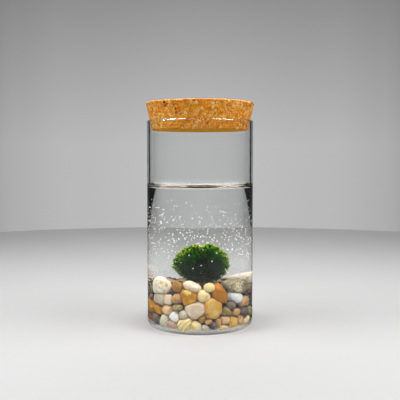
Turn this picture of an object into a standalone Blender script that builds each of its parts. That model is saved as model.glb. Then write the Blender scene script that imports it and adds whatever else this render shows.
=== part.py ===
"""A marimo moss ball in its jar: a round glass jar with a tapered cork, still water,
a bed of mixed small stones and one moss ball resting on them.

Frame: metres, +Z up, origin at the centre of the jar's flat underside, front at -Y.
The pieces are turned (jar, cork, water, gravel fill) or are grown out from a centre
point (stones, moss ball), so that each stays in a space of its own.
"""

import math

import bmesh
import bpy
from mathutils import Vector, noise
from mathutils.bvhtree import BVHTree

MM = 0.001
GAP = 0.3 * MM  # air kept between pieces that touch
SIDES = 48  # facets round every turned piece

# Jar: a straight blown cylinder with a thick floor and a fire-polished lip.
JAR_RADIUS = 40.0 * MM
JAR_HEIGHT = 155.0 * MM
WALL = 2.0 * MM
FLOOR = 3.0 * MM
FOOT_ROUND = 5.0 * MM
INNER_ROUND = 4.0 * MM
BORE = JAR_RADIUS - WALL  # inner radius

# Cork: tapers downward and wedges in the mouth.
CORK_ABOVE = 13.6 * MM
CORK_BELOW = 7.2 * MM
CORK_TAPER = 0.22  # change of radius along the height
CORK_BEVEL = 0.8 * MM

# Water: its level at the middle, and how far it climbs the glass.
WATER_LEVEL = 107.0 * MM
WATER_CLIMB = 3.2 * MM
WATER_CLEARANCE = 0.5 * MM  # over the stones and the moss

# Moss ball.
MOSS_CENTRE = Vector((1.5 * MM, -0.5 * MM, 47.3 * MM))
MOSS_RADIUS = 16.2 * MM
MOSS_LUMPS = 0.045  # share of the radius

# Gravel: stones stand round the glass, and small grit fills the middle.
FILL_RADIUS = 25.4 * MM
FILL_TOP = 33.4 * MM
STONE_REACH = BORE - 0.42 * MM  # stones stay inside this radius
STONE_FLOOR = FLOOR + GAP
STONE_MAX_DEPTH = STONE_REACH - FILL_RADIUS - GAP
STONE_LUMPS = 0.16
STONE_DEPTH_SHARE = 0.42  # half depth, as a share of half width plus half height
STONE_DEPTH_MORE = 0.8 * MM
STONE_FULLER = 1.06  # a stone is planned this much wider and taller, as neighbours trim it
STONE_DEEPER = 1.1
NEIGHBOUR_REACH = 40 * MM  # stones further apart than this never touch
CORNER_SLACK = 0.6 * MM  # kept free in the round corner of the glass
LONGEST_REACH = 60 * MM
CELL_SOFTNESS = 1.5 / MM  # how sharply a stone meets the edge of its space

# Stones that show at the front, as they lie against the glass: number, kind,
# degrees round from the front (right is +), height of the middle, width along the
# glass, height (mm), lean in the plane of the glass (degrees, + is clockwise)
# and squareness (2 is an egg, 4 is a block).
FRONT_STONES = [
    (1, "chalk", -56, 32.5, 13.6, 12.5, 0, 2.4),
    (2, "rust", -27, 34.0, 8.5, 6.5, 0, 2.2),
    (3, "pink", -10, 34.2, 15.0, 7.0, 22, 2.6),
    (4, "cream", 11, 34.3, 8.0, 6.0, 0, 2.2),
    (5, "caramel", 23, 28.6, 10.5, 16.5, -28, 2.3),
    (6, "greygreen", 49, 33.0, 25.0, 10.5, 4, 2.3),
    (7, "quartz", 46, 25.6, 19.0, 8.5, 3, 2.6),
    (8, "grey", -54, 23.8, 13.5, 10.0, 12, 2.8),
    (9, "pink", -39, 24.2, 10.0, 6.6, -28, 2.0),
    (10, "tan", -28, 25.6, 7.0, 15.0, 38, 2.3),
    (11, "ochre", -13, 27.6, 13.0, 15.0, -8, 2.6),
    (12, "cream", 4, 28.6, 10.5, 8.5, 0, 2.8),
    (13, "slate", 38, 20.4, 11.0, 6.0, -12, 2.3),
    (14, "tan", 64, 20.6, 14.0, 7.5, 0, 2.4),
    (15, "ochre", -56, 15.6, 11.5, 8.0, 10, 2.3),
    (16, "peach", -40.5, 16.9, 9.8, 7.6, 0, 2.6),
    (17, "olive", -26.5, 19.6, 8.2, 5.6, -8, 2.5),
    (18, "beige", -6, 18.9, 16.6, 13.6, 14, 2.3),
    (19, "yellow", 14.5, 20.0, 13.6, 17.2, -4, 2.7),
    (20, "olive", 32.5, 16.0, 9.6, 7.8, 10, 2.6),
    (21, "tan", 45, 14.6, 9.0, 5.2, 0, 2.8),
    (22, "slate", 62, 13.8, 13.0, 7.4, -8, 2.3),
    (23, "quartz", -30.5, 12.6, 9.6, 8.6, 0, 2.6),
    (24, "grey", -19.5, 14.8, 7.0, 6.6, 0, 2.4),
    (25, "mint", -45.5, 8.6, 8.0, 10.4, 14, 2.3),
    (26, "slate", -60, 8.2, 8.5, 10.0, -14, 2.2),
    (27, "rose", -34, 6.7, 10.4, 6.8, 8, 2.1),
    (28, "striped", -17, 8.6, 12.4, 10.4, 16, 3.6),
    (29, "cream", -4, 6.8, 8.6, 7.6, -6, 3.4),
    (30, "rust", 2.5, 11.9, 8.6, 4.2, -16, 2.4),
    (31, "grey", 6, 5.8, 6.8, 5.0, 0, 2.2),
    (32, "tan", 9.5, 9.8, 8.6, 4.2, -8, 2.4),
    (33, "slate", 15.5, 6.9, 6.6, 6.8, 0, 2.0),
    (34, "tan", 21.5, 9.2, 5.2, 6.0, 0, 2.4),
    (35, "cream", 26.5, 5.2, 13.6, 4.4, -8, 2.4),
    (36, "peach", 29.5, 10.4, 8.0, 6.4, -10, 3.2),
    (37, "yellow", 41, 8.2, 9.0, 9.6, 0, 2.8),
    (38, "tan", 53, 8.0, 7.4, 8.0, 20, 2.6),
    (39, "cream", 67, 6.4, 14.0, 5.8, -22, 2.5),
    (40, "olive", 75, 12.4, 8.0, 7.0, 0, 2.3),
]
HERO_STONES = (1, 5, 6, 11, 18, 19, 28)  # made with finer facets

# The back of the bed, where any stone would do, is laid in courses by a rule.
BACK_FIRST, BACK_LAST = 93.0, 283.0  # degrees round from the front
BACK_COURSES = [7.6, 18.0, 28.2]  # heights of the middles, mm
BACK_PER_COURSE = 5
BACK_SIZE = (20.0, 10.8)  # width and height, mm
BACK_SLOPE = 0.14  # the bed lies higher on the right and lower on the left
BACK_SHIFT = 0.28  # share of a step that each course is shifted by
BACK_SCATTER = 4.0  # degrees
BACK_WIDER, BACK_LOWER = 0.35, 0.25  # how much width and height vary
BACK_LEAN = 30.0  # degrees
BACK_SQUARE = 2.5
BACK_KINDS = ["tan", "grey", "cream", "ochre", "slate", "pink", "chalk", "olive"]

KIND_COLOURS = {
    "chalk": (0.82, 0.74, 0.58),
    "rust": (0.50, 0.18, 0.05),
    "pink": (0.74, 0.58, 0.44),
    "cream": (0.78, 0.66, 0.42),
    "caramel": (0.48, 0.24, 0.05),
    "greygreen": (0.42, 0.38, 0.26),
    "quartz": (0.86, 0.86, 0.82),
    "grey": (0.46, 0.43, 0.37),
    "tan": (0.52, 0.36, 0.20),
    "ochre": (0.60, 0.34, 0.05),
    "slate": (0.10, 0.09, 0.09),
    "peach": (0.72, 0.50, 0.28),
    "olive": (0.28, 0.24, 0.12),
    "beige": (0.66, 0.56, 0.40),
    "yellow": (0.74, 0.56, 0.24),
    "mint": (0.62, 0.62, 0.48),
    "rose": (0.46, 0.33, 0.24),
    "striped": (0.76, 0.64, 0.32),
}


def clear_scene():
    for obj in list(bpy.data.objects):
        bpy.data.objects.remove(obj, do_unlink=True)


def material(name, colour, roughness, transmission=0.0, ior=1.5):
    mat = bpy.data.materials.get(name) or bpy.data.materials.new(name)
    mat.use_nodes = True
    shader = mat.node_tree.nodes["Principled BSDF"]
    shader.inputs["Base Color"].default_value = (*colour, 1.0)
    shader.inputs["Roughness"].default_value = roughness
    shader.inputs["Metallic"].default_value = 0.0
    shader.inputs["Transmission Weight"].default_value = transmission
    shader.inputs["IOR"].default_value = ior
    return mat


def add_piece(name, points, faces, mat):
    """One named object from points and faces, with its faces turned outward."""
    mesh = bpy.data.meshes.new(name)
    mesh.from_pydata([tuple(p) for p in points], [], faces)
    work = bmesh.new()
    work.from_mesh(mesh)
    bmesh.ops.recalc_face_normals(work, faces=work.faces)
    work.to_mesh(mesh)
    work.free()
    mesh.shade_smooth()
    mesh.set_sharp_from_angle(angle=math.radians(40))
    mesh.materials.append(mat)
    obj = bpy.data.objects.new(name, mesh)
    bpy.context.scene.collection.objects.link(obj)
    return obj


def arc(centre_r, centre_z, radius, start, end, steps):
    """Points of a round corner in the (radius, height) plane; angles in degrees."""
    points = []
    for i in range(steps + 1):
        a = math.radians(start + (end - start) * i / steps)
        points.append((centre_r + radius * math.cos(a), centre_z + radius * math.sin(a)))
    return points


def turned(name, profile, mat):
    """A solid of revolution. The profile runs from the axis to the axis."""
    points, rings = [], []
    for radius, height in profile:
        if radius < 1e-9:
            rings.append([len(points)])
            points.append((0.0, 0.0, height))
            continue
        rings.append(list(range(len(points), len(points) + SIDES)))
        for i in range(SIDES):
            turn = 2 * math.pi * i / SIDES
            points.append((radius * math.cos(turn), radius * math.sin(turn), height))
    return add_piece(name, points, join_rings(rings), mat)


def join_rings(rings):
    """Faces between rings of points; a ring of one point is an end on the axis."""
    faces = []
    for low, high in zip(rings, rings[1:]):
        for i in range(SIDES):
            j = (i + 1) % SIDES
            if len(low) == 1:
                faces.append((low[0], high[i], high[j]))
            elif len(high) == 1:
                faces.append((low[i], low[j], high[0]))
            else:
                faces.append((low[i], low[j], high[j], high[i]))
    return faces


def make_jar():
    foot = arc(JAR_RADIUS - FOOT_ROUND, FOOT_ROUND, FOOT_ROUND, -90, 0, 3)
    lip = arc(BORE + WALL / 2, JAR_HEIGHT - WALL / 2, WALL / 2, 0, 180, 4)
    inside = arc(BORE - INNER_ROUND, FLOOR + INNER_ROUND, INNER_ROUND, 0, -90, 3)
    profile = [(0.0, 0.0), *foot, *lip, *inside, (0.0, FLOOR)]
    glass = material("clear glass", (0.95, 0.97, 0.96), 0.02, transmission=1.0, ior=1.47)
    return turned("glass_jar", profile, glass)


def make_cork():
    """Its radius at the mouth leaves the gap to the glass; the taper does the rest."""
    mouth = BORE - GAP
    top_z = JAR_HEIGHT + CORK_ABOVE
    low_z = JAR_HEIGHT - CORK_BELOW
    top_r = mouth + CORK_TAPER * CORK_ABOVE
    low_r = mouth - CORK_TAPER * CORK_BELOW
    profile = [
        (0.0, low_z),
        (low_r - CORK_BEVEL, low_z),
        (low_r, low_z + CORK_BEVEL),
        (top_r, top_z - CORK_BEVEL),
        (top_r - CORK_BEVEL, top_z),
        (0.0, top_z),
    ]
    return turned("cork_stopper", profile, material("cork", (0.50, 0.24, 0.07), 0.85))


def sphere_directions(level):
    """Unit directions and triangles of a round ball with even facets."""
    work = bmesh.new()
    bmesh.ops.create_icosphere(work, subdivisions=level, radius=1.0)
    work.verts.ensure_lookup_table()
    directions = [v.co.normalized() for v in work.verts]
    faces = [tuple(v.index for v in f.verts) for f in work.faces]
    work.free()
    return directions, faces


def make_moss():
    """A ball with shallow lumps, cut where it would pass its full radius."""
    directions, faces = sphere_directions(3)
    points = []
    for d in directions:
        lump = noise.fractal(d * 1.7 + Vector((3.1, 0.4, 7.7)), 1.0, 2.0, 3)
        points.append(MOSS_CENTRE + d * MOSS_RADIUS * (1 - MOSS_LUMPS * abs(lump)))
    return add_piece("moss_ball", points, faces, material("moss", (0.03, 0.09, 0.01), 0.9))


def make_fill():
    """The grit in the middle of the bed, dished on top where the moss ball lies."""
    dish = MOSS_RADIUS + GAP
    axis_shift = math.hypot(MOSS_CENTRE.x, MOSS_CENTRE.y)
    profile = [(0.0, STONE_FLOOR), (FILL_RADIUS - GAP, STONE_FLOOR), (FILL_RADIUS, 6 * MM)]
    profile += [(FILL_RADIUS, FILL_TOP - 2 * MM), (FILL_RADIUS - 2 * MM, FILL_TOP)]
    for radius in (11 * MM, 8 * MM, 4 * MM, 0.0):
        drop = math.sqrt(dish**2 - max(0.0, radius - axis_shift) ** 2)
        profile.append((radius, min(FILL_TOP, MOSS_CENTRE.z - drop)))
    return turned("gravel_fill", profile, material("grit", (0.35, 0.27, 0.16), 0.8))


def stone_axes(angle, lean):
    """Along the glass, outward through it, and up, with the stone's lean applied."""
    turn = math.radians(angle)
    outward = Vector((math.sin(turn), -math.cos(turn), 0.0))
    along = Vector((math.cos(turn), math.sin(turn), 0.0))
    tip = math.radians(lean)
    up = Vector((0.0, 0.0, 1.0))
    return (
        along * math.cos(tip) - up * math.sin(tip),
        outward,
        along * math.sin(tip) + up * math.cos(tip),
    )


def plan_stone(number, kind, angle, height, width, tall, lean, square):
    """Where a stone lies and how big it is, before its neighbours press on it."""
    half_w, half_h = width * MM / 2, tall * MM / 2
    natural = STONE_DEPTH_SHARE * (half_w + half_h) + STONE_DEPTH_MORE
    half_d = min(STONE_MAX_DEPTH / 2, natural)
    axes = stone_axes(angle, lean)
    flat = axes[1] * (STONE_REACH - half_d)
    centre = Vector((flat.x, flat.y, height * MM))
    return {
        "name": f"stone_{number:02d}_{kind}",
        "number": number,
        "kind": kind,
        "centre": centre,
        "axes": axes,
        "half": (half_w * STONE_FULLER, half_d * STONE_DEEPER, half_h * STONE_FULLER),
        "square": square,
    }


def plan_back_stones():
    """Three courses at the back, each shifted from the one below like brickwork."""
    step = (BACK_LAST - BACK_FIRST) / BACK_PER_COURSE
    stones = []
    for row, height in enumerate(BACK_COURSES):
        for i in range(BACK_PER_COURSE):
            number = len(FRONT_STONES) + len(stones) + 1
            wobble = noise.noise(Vector((number * 1.37, row * 2.1, 0.5)))
            shift = BACK_SHIFT if row % 2 else -BACK_SHIFT
            angle = BACK_FIRST + step * (i + 0.5 + shift) + BACK_SCATTER * wobble
            width = BACK_SIZE[0] * (1 + BACK_WIDER * wobble)
            tall = BACK_SIZE[1] * (1 - BACK_LOWER * wobble)
            kind = BACK_KINDS[(number * 5 + row) % len(BACK_KINDS)]
            lean = BACK_LEAN * noise.noise(Vector((number * 2.9, 1.7, 3.3)))
            slope = 1 + BACK_SLOPE * math.sin(math.radians(angle)) * row / 2
            stones.append(
                plan_stone(
                    number, kind, angle, height * slope, width, tall, lean, BACK_SQUARE
                )
            )
    return stones


def free_reach(stone, direction):
    """How far the stone would reach along a direction on its own."""
    total = 0.0
    for axis, half in zip(stone["axes"], stone["half"]):
        total += (abs(direction.dot(axis)) / half) ** stone["square"]
    reach = total ** (-1.0 / stone["square"])
    seed = Vector((stone["number"] * 7.3, stone["number"] * 1.9, 4.2))
    return reach * (1 + STONE_LUMPS * noise.noise(direction * 1.6 + seed))


def jar_reach(start, direction):
    """How far it is to the glass: the wall, the floor or the round corner."""
    low, high = 0.0, LONGEST_REACH
    slack = INNER_ROUND * (2 - math.sqrt(2))
    corner = BORE - FLOOR - slack - CORNER_SLACK
    for _ in range(24):
        middle = (low + high) / 2
        p = start + direction * middle
        radius = math.hypot(p.x, p.y)
        inside = radius < STONE_REACH and p.z > STONE_FLOOR and radius - p.z < corner
        low, high = (middle, high) if inside else (low, middle)
    return low


def limits_of(stone, stones):
    """Planes (normal, distance from the centre) that bound the stone's own space."""
    outward = stone["axes"][1]
    centre = stone["centre"]
    to_fill = math.hypot(centre.x, centre.y) - FILL_RADIUS - GAP
    planes = [(-outward, to_fill)]
    to_moss = MOSS_CENTRE - centre
    planes.append((to_moss.normalized(), to_moss.length - MOSS_RADIUS - GAP))
    for other in stones:
        if other is stone:
            continue
        apart = other["centre"] - centre
        if apart.length > NEIGHBOUR_REACH:
            continue
        way = apart.normalized()
        mine, theirs = free_reach(stone, way), free_reach(other, -way)
        spare = apart.length - mine - theirs
        share = mine + spare / 2 if spare > 0 else apart.length * mine / (mine + theirs)
        planes.append((way, share - GAP / 2))
    return planes


def make_stone(stone, stones):
    """Grow the stone out from its centre, softly stopped by every limit it meets."""
    level = 3 if stone["number"] in HERO_STONES else 2
    directions, faces = sphere_directions(level)
    planes = limits_of(stone, stones)
    points = []
    for d in directions:
        stops = [free_reach(stone, d), jar_reach(stone["centre"], d)]
        for normal, distance in planes:
            facing = d.dot(normal)
            if facing > 1e-6:
                stops.append(distance / facing)
        nearest = min(stops)
        soft = sum(math.exp(-CELL_SOFTNESS * (s - nearest)) for s in stops)
        points.append(stone["centre"] + d * (nearest - math.log(soft) / CELL_SOFTNESS))
    mat = material(f"{stone['kind']} stone", KIND_COLOURS[stone["kind"]], 0.6)
    return add_piece(stone["name"], points, faces, mat)


def solid_tree(objects):
    """One search tree over the surfaces of several pieces."""
    points, faces = [], []
    for obj in objects:
        first = len(points)
        points += [v.co.copy() for v in obj.data.vertices]
        faces += [tuple(first + i for i in f.vertices) for f in obj.data.polygons]
    return BVHTree.FromPolygons(points, faces)


def top_height(tree, radius, turn):
    """Height of the highest surface under a point of the water."""
    start = Vector((radius * math.cos(turn), radius * math.sin(turn), WATER_LEVEL))
    hit = tree.ray_cast(start, Vector((0.0, 0.0, -1.0)))[0]
    return hit.z if hit else STONE_FLOOR


def make_water(bed):
    """Water above the bed. Its underside lies over the stones and over the moss ball;
    each of its points clears the highest thing in the cells round it."""
    tree = solid_tree(bed)
    edge = BORE - GAP
    rings_out = 9
    fine = 4  # test points along each cell
    tests = [
        [top_height(tree, edge * i / (rings_out * fine), 2 * math.pi * j / (SIDES * fine))
         for j in range(SIDES * fine)]
        for i in range(rings_out * fine + 1)
    ]

    def cleared(ring, side):
        best = STONE_FLOOR
        for i in range((ring - 1) * fine, (ring + 1) * fine + 1):
            row = tests[min(abs(i), rings_out * fine)]
            for j in range((side - 1) * fine, (side + 1) * fine + 1):
                best = max(best, row[j % len(row)])
        return best + WATER_CLEARANCE

    middle = max(max(row) for row in tests[: fine + 1]) + WATER_CLEARANCE
    points, rings = [(0.0, 0.0, middle)], [[0]]
    for ring in range(1, rings_out + 1):
        rings.append(list(range(len(points), len(points) + SIDES)))
        for side in range(SIDES):
            turn = 2 * math.pi * side / SIDES
            radius = edge * ring / rings_out
            height = cleared(ring, side)
            points.append((radius * math.cos(turn), radius * math.sin(turn), height))
    climb = [(1.0, 1.0), (0.97, 0.42), (0.9, 0.0)]
    for share, rise in climb:
        rings.append(list(range(len(points), len(points) + SIDES)))
        for side in range(SIDES):
            turn = 2 * math.pi * side / SIDES
            x, y = edge * share * math.cos(turn), edge * share * math.sin(turn)
            points.append((x, y, WATER_LEVEL + WATER_CLIMB * rise))
    rings.append([len(points)])
    points.append((0.0, 0.0, WATER_LEVEL))
    mat = material("water", (1.0, 1.0, 1.0), 0.0, transmission=1.0, ior=1.333)
    return add_piece("water", points, join_rings(rings), mat)


def main():
    clear_scene()
    make_jar()
    make_cork()
    moss = make_moss()
    fill = make_fill()
    stones = [plan_stone(*row) for row in FRONT_STONES] + plan_back_stones()
    pebbles = [make_stone(stone, stones) for stone in stones]
    make_water([moss, fill, *pebbles])


main()
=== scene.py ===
# %% [markdown]
# # A marimo moss ball in its corked jar
# A marimo is a ball of fine green water threads that grows round by rolling on a lake bed.
# This one lies on a bed of mixed stones in a glass jar of still water, closed by a cork. The
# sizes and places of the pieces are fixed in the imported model, so the first step is to load it
# and keep its box, which the finished pieces have to stay in.

# %% Load the frame
import math
import random

import bmesh
import bpy
import numpy as np
from mathutils import Matrix, Vector, noise
from mathutils.bvhtree import BVHTree


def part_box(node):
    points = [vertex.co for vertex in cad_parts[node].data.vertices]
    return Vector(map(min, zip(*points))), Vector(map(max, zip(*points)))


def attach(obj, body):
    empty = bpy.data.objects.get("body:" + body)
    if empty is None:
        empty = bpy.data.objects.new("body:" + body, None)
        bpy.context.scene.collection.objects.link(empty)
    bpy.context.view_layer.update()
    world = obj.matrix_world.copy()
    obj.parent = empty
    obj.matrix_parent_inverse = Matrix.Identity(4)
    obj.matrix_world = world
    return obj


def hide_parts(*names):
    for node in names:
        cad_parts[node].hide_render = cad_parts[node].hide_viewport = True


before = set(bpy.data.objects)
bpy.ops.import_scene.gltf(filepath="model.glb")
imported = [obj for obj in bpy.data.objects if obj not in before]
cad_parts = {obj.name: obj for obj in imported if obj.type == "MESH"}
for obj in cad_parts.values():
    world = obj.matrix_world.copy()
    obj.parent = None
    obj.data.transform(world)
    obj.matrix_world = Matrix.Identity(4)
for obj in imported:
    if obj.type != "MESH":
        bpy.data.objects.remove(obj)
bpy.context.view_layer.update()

MM = 0.001
UP = Vector((0.0, 0.0, 1.0))

# %% [markdown]
# ## The camera
# The view is that of a product shot: a little above the middle of the jar, from half a
# metre away, tipped down by a few degrees. A long lens keeps the jar's sides almost upright.
# The camera comes first, so that every later piece can be judged in the real view.

# %% Camera
CAMERA_DISTANCE = 0.527
CAMERA_HEIGHT = 0.127
CAMERA_TIP = math.radians(3.45)
CAMERA_LENS = 62.46


def add_object(name, data):
    made = bpy.data.objects.new(name, data)
    bpy.context.scene.collection.objects.link(made)
    return made


camera = add_object("camera", bpy.data.cameras.new("camera"))
camera.location = (0.0, -CAMERA_DISTANCE, CAMERA_HEIGHT)
camera.rotation_euler = (math.pi / 2 - CAMERA_TIP, 0.0, 0.0)
camera.data.lens = CAMERA_LENS
camera.data.sensor_width = 36.0
camera.data.clip_start = 0.01
bpy.context.scene.camera = camera
bpy.context.scene.view_settings.view_transform = "Standard"
print("camera:", tuple(round(v, 3) for v in camera.location))

# %% [markdown]
# ## Small tools for finishes
# A finish is a tree of shader nodes. `feed` fills a node's sockets from plain values or from
# other nodes, and `place` puts a new node in the tree and feeds it. The rest are nodes that
# come back all the time: a sum, a stretched range, a colour ramp, a mix, clouds and a bump.

# %% Helpers for nodes
def feed(tree, node, values):
    for key, value in values.items():
        if isinstance(value, bpy.types.NodeSocket):
            tree.links.new(value, node.inputs[key])
        else:
            node.inputs[key].default_value = value


def place(tree, kind, inputs=None, **settings):
    made = tree.nodes.new("ShaderNode" + kind)
    for key, value in settings.items():
        setattr(made, key, value)
    feed(tree, made, inputs or {})
    return made


def object_spot(tree):
    return place(tree, "TexCoord").outputs["Object"]


def scaled(tree, spot, scale):
    return place(tree, "VectorMath", {0: spot, "Scale": scale}, operation="SCALE").outputs["Vector"]


def maths(tree, operation, *values, clamp=False):
    return place(tree, "Math", dict(enumerate(values)), operation=operation, use_clamp=clamp).outputs[0]


def spread(tree, value, start=(0.0, 1.0), end=(0.0, 1.0), how="LINEAR"):
    """The value, with the start range stretched to the end range."""
    ends = {"Value": value, "From Min": start[0], "From Max": start[1], "To Min": end[0], "To Max": end[1]}
    return place(tree, "MapRange", ends, interpolation_type=how).outputs["Result"]


def ramp(tree, factor, stops, how="LINEAR"):
    """A colour for each value of the factor, through stops of a position and a colour."""
    node = place(tree, "ValToRGB", {"Fac": factor})
    scale = node.color_ramp
    scale.interpolation = how
    while len(scale.elements) < len(stops):
        scale.elements.new(0.5)
    for i, (position, colour) in enumerate(stops):
        scale.elements[i].position = position
        scale.elements[i].color = (*colour, 1.0)
    return node.outputs["Color"]


def blend(tree, factor, first, second, how="MIX"):
    """One Mix node on colours. Its colour sockets are reached by number, as their names repeat."""
    return place(tree, "Mix", {0: factor, 6: first, 7: second}, data_type="RGBA", blend_type=how).outputs[2]


def clouds(tree, spot, detail, scale=1.0, roughness=0.5, out="Fac"):
    values = {"Vector": spot, "Scale": scale, "Detail": detail, "Roughness": roughness}
    return place(tree, "TexNoise", values).outputs[out]


def bump(tree, shader, height, strength, distance):
    made = place(tree, "Bump", {"Height": height, "Strength": strength, "Distance": distance})
    feed(tree, shader, {"Normal": made.outputs["Normal"]})


def new_material(name):
    made = bpy.data.materials.new(name)
    made.use_nodes = True
    return made, made.node_tree, made.node_tree.nodes["Principled BSDF"]


# %% [markdown]
# ## Small tools for pieces
# `add_mesh` turns points and faces into an object. `tag` stores a number on each point or
# face, for a finish to read. `finish_piece` hangs the object on the root body and hides the
# imported node that it stands for.

# %% Helpers for meshes
def add_mesh(name, points, faces, material):
    mesh = bpy.data.meshes.new(name)
    mesh.from_pydata([tuple(p) for p in points], [], faces)
    mesh.validate()
    made = add_object(name, mesh)
    mesh.materials.append(material)
    mesh.shade_smooth()
    return made


def add_many(name, shapes, material):
    """One mesh of many shapes, each an array of points and an array of faces."""
    counts = np.cumsum([0] + [len(points) for points, _ in shapes])
    faces = np.vstack([faces + first for (_, faces), first in zip(shapes, counts)])
    return add_mesh(name, np.vstack([points for points, _ in shapes]), faces.tolist(), material)


def tag(made, name, domain, values):
    made.data.attributes.new(name, "FLOAT", domain).data.foreach_set("value", np.asarray(values, np.float32))


def finish_piece(piece, node):
    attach(piece, "root")
    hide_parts(node)
    return piece


# %% [markdown]
# ## The floor
# A pale round floor, greyer far out as painted shade. Glass and water would mirror a bright floor
# as a grey veil over the stones, so it is painted darker towards the camera, and darker again for
# mirrored rays, as if black flags stood there. Real glass gathers light in its foot. Here a weak
# painted glow lies under the jar instead.

# %% Floor
STUDIO_RADIUS = 0.75
FLOOR_TOP = 0.05 * MM
# painted shade far out and towards the camera, and a painted glow under the jar
FLOOR_FADE, FLOOR_GREYS = (0.1, STUDIO_RADIUS), (0.51, 0.37)
FRONT_FADE, FRONT_GREYS = (-0.42, -0.17), (0.35, 1.0)
GLOW_FADE, GLOW_GREYS = (30.0 * MM, 39.5 * MM), (0.40, 0.0)
MIRRORED = 0.15
RIM_POINTS = 96


def ring_points(radius, height, count):
    turns = [2 * math.pi * i / count for i in range(count)]
    return [(radius * math.cos(t), radius * math.sin(t), height) for t in turns]


def dimmed_in_glass(tree, level):
    ray = place(tree, "LightPath").outputs
    mirrored = maths(tree, "SUBTRACT", ray["Is Glossy Ray"], ray["Is Transmission Ray"], clamp=True)
    return maths(tree, "MULTIPLY", level, spread(tree, mirrored, end=(1.0, MIRRORED)))


def make_floor():
    material, tree, shader = new_material("pale floor")
    spot = object_spot(tree)
    away = place(tree, "VectorMath", {0: spot}, operation="LENGTH").outputs["Value"]
    front = place(tree, "SeparateXYZ", {"Vector": spot}).outputs["Y"]
    far_out = spread(tree, away, FLOOR_FADE, FLOOR_GREYS, "SMOOTHSTEP")
    level = maths(tree, "MULTIPLY", far_out, spread(tree, front, FRONT_FADE, FRONT_GREYS))
    feed(tree, shader, {
        "Base Color": dimmed_in_glass(tree, level),
        "Roughness": 0.9,
        "Specular IOR Level": 0.0,
        "Emission Color": spread(tree, away, GLOW_FADE, GLOW_GREYS),
        "Emission Strength": 1.0,
    })
    rim = ring_points(STUDIO_RADIUS + 0.01, FLOOR_TOP, RIM_POINTS)
    add_mesh("floor", rim, [tuple(range(RIM_POINTS))], material)


make_floor()
print("floor: radius", STUDIO_RADIUS, "m")

# %% [markdown]
# ## The wall
# A curved grey wall glows softly, like a lit backdrop, and turns black just outside the view:
# glass has no colour of its own, so its edges only show as dark lines where they bend the
# view towards something dark. Low down, a bright skirt reaches further round, so that the
# black wedges under the water's surface run to a point.

# %% Wall
WALL_HEIGHT = 1.6
WALL_FOOT = -0.005
WALL_POINTS = 128
WALL_GREYS = [  # degrees round from straight behind the jar, and how bright
    (-180, 0.05), (-105, 0.03), (-90, 0.010), (-29.4, 0.014), (-27.9, 0.385), (-25.4, 0.425), (-18, 0.48),
    (0, 0.525), (18, 0.48), (25.4, 0.425), (27.9, 0.375), (29.4, 0.006), (90, 0.006), (105, 0.03), (180, 0.05),
]
HEIGHT_FADE, HEIGHT_GREYS = (0.15, 0.62), (1.0, 0.20)
SKIRT_TOP, SKIRT_BRIGHT, SKIRT_SOFT = 0.072, 0.34, 0.02
SKIRT_EDGE, SKIRT_FLARE = math.radians(28.4), 4.5
COOL = (1.0, 1.0, 1.01)


def make_wall():
    material, tree, shader = new_material("glowing wall")
    spot = object_spot(tree)
    parts = place(tree, "SeparateXYZ", {"Vector": spot}).outputs
    turn = maths(tree, "ARCTAN2", parts["X"], parts["Y"])
    stops = [((degrees + 180) / 360, (grey, grey, grey)) for degrees, grey in WALL_GREYS]
    around = ramp(tree, spread(tree, turn, (-math.pi, math.pi)), stops, "EASE")
    below = maths(tree, "MAXIMUM", maths(tree, "SUBTRACT", SKIRT_TOP, parts["Z"]), 0.0)
    edge = maths(tree, "MULTIPLY_ADD", below, SKIRT_FLARE, SKIRT_EDGE)
    inside = maths(tree, "SUBTRACT", edge, maths(tree, "ABSOLUTE", turn))
    skirt = spread(tree, inside, (-SKIRT_SOFT, SKIRT_SOFT), (0.0, SKIRT_BRIGHT))
    higher = spread(tree, parts["Z"], HEIGHT_FADE, HEIGHT_GREYS)
    level = maths(tree, "MULTIPLY", maths(tree, "MAXIMUM", around, skirt), higher)
    feed(tree, shader, {
        "Base Color": (0.004, 0.004, 0.004, 1.0),
        "Roughness": 1.0,
        "Specular IOR Level": 0.0,
        "Emission Color": scaled(tree, COOL, dimmed_in_glass(tree, level)),
        "Emission Strength": 1.0,
    })
    count = WALL_POINTS
    points = ring_points(STUDIO_RADIUS, WALL_FOOT, count) + ring_points(STUDIO_RADIUS, WALL_HEIGHT, count)
    faces = [(i + count, (i + 1) % count + count, (i + 1) % count, i) for i in range(count)]
    add_mesh("wall", points, faces, material)


make_wall()
print("wall:", WALL_HEIGHT, "m high")

# %% [markdown]
# ## The light
# Wide soft boxes hang on both sides, behind and above the camera, too high to be mirrored in
# the upright glass. Matt surfaces don't see the two strong strips overhead: they are only
# there to put white glints on the lip, the foot and the bubbles. The world gives a weak fill.

# %% Lamps
SOFT_BOXES = {  # where it hangs, where it points, its size in metres and its power in watts
    "left": ((-0.42, -0.18, 0.80), (0.0, 0.0, 0.04), (0.50, 0.60), 6.6),
    "right": ((0.42, -0.18, 0.80), (0.0, 0.0, 0.04), (0.50, 0.60), 6.6),
    "back": ((0.0, 0.55, 0.75), (0.0, 0.0, 0.05), (0.60, 0.30), 2.2),
    "front": ((0.0, -0.75, 0.55), (0.0, 0.0, 0.08), (0.70, 0.30), 6.0),
}
GLINT_SIDE, GLINT_HEIGHT, GLINT_SIZE, GLINT_POWER = 0.36, 0.79, (0.26, 0.60), 40.0
FILL = 0.05


def add_lamp(name, hung_at, aim, size, power):
    lamp = add_object(name, bpy.data.lights.new(name, "AREA"))
    lamp.data.shape = "RECTANGLE"
    lamp.data.size, lamp.data.size_y = size
    lamp.data.energy = power
    lamp.location = hung_at
    lamp.rotation_euler = (Vector(aim) - Vector(hung_at)).to_track_quat("-Z", "Y").to_euler()
    lamp.visible_camera = False
    return lamp


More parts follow.
